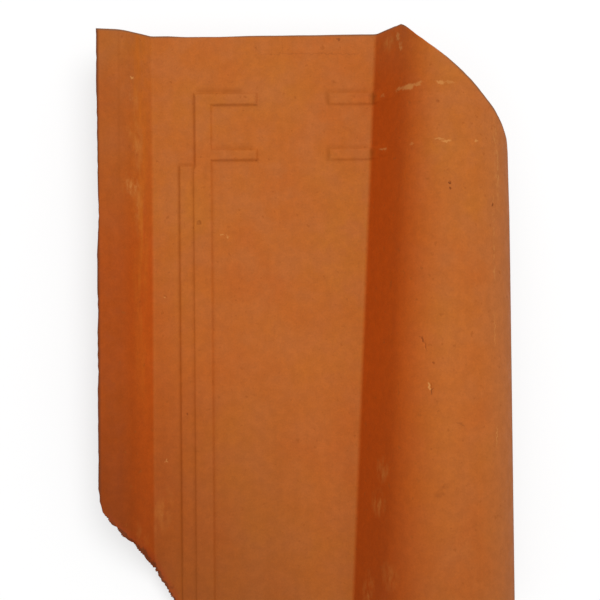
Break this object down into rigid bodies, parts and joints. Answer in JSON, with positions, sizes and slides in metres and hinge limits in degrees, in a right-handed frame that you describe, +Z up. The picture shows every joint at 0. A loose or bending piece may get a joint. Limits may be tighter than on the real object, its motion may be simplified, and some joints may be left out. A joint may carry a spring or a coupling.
{
  "type": "clay roof tile",
  "caption": "Single-lap clay pantile with an upturned side, a flat pan, a tapering roll, cut corners, pressed weather bars and hanging nibs under the head.",
  "frame": {"origin": "centre of the tile's bounding box at floor level, as it rests on a level floor on its nibs and its tail edge", "axes": "+Y up the slope from the tail to the head, +X from the upturned side to the roll, +Z up from the weather side"},
  "size_m": [0.2408, 0.3452, 0.0701],
  "materials": {
    "terracotta": "matt fired clay, slightly dusty"
  },
  "bodies": {
    "root": {"roof_tile": "terracotta"}
  },
  "joints": []
}
